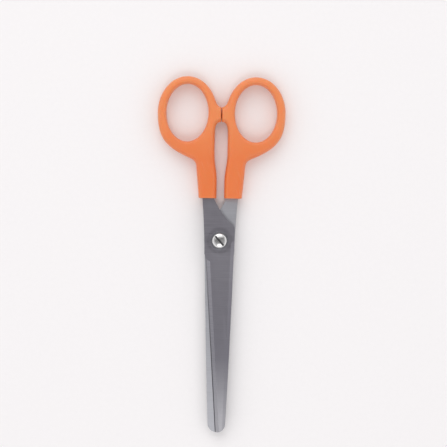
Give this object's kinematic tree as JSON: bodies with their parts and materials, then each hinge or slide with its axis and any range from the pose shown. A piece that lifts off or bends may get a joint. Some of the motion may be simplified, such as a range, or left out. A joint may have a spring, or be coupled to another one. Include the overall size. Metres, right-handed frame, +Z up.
{
  "type": "craft scissors",
  "caption": "Small blunt-tipped paper scissors with two plastic finger loops and steel blades that turn on a slotted pivot screw.",
  "frame": {"origin": "centre of the footprint, on the surface that the closed scissors lie flat on", "axes": "+Y from the tips to the finger loops, +Z up through the pivot towards the screw's head, +X across"},
  "size_m": [0.0456, 0.127, 0.0057],
  "materials": {
    "front_blade": "ground stainless steel",
    "rear_blade": "ground stainless steel",
    "front_handle": "satin moulded plastic, orange",
    "rear_handle": "satin moulded plastic, orange",
    "pivot_screw": "bright nickel plate",
    "pivot_washer": "darkened spring steel",
    "pivot_nut": "nickel plate"
  },
  "bodies": {
    "rear_half": {"rear_blade": "rear_blade", "rear_handle": "rear_handle", "pivot_screw": "pivot_screw", "pivot_washer": "pivot_washer", "pivot_nut": "pivot_nut"},
    "front_half": {"front_blade": "front_blade", "front_handle": "front_handle"}
  },
  "joints": [
    {"name": "pivot", "type": "hinge", "parent": "rear_half", "child": "front_half", "pos_m": [0, 0.0049, 0.0028], "axis": [0, 0, 1], "range_deg": [0, 130]}
  ]
}
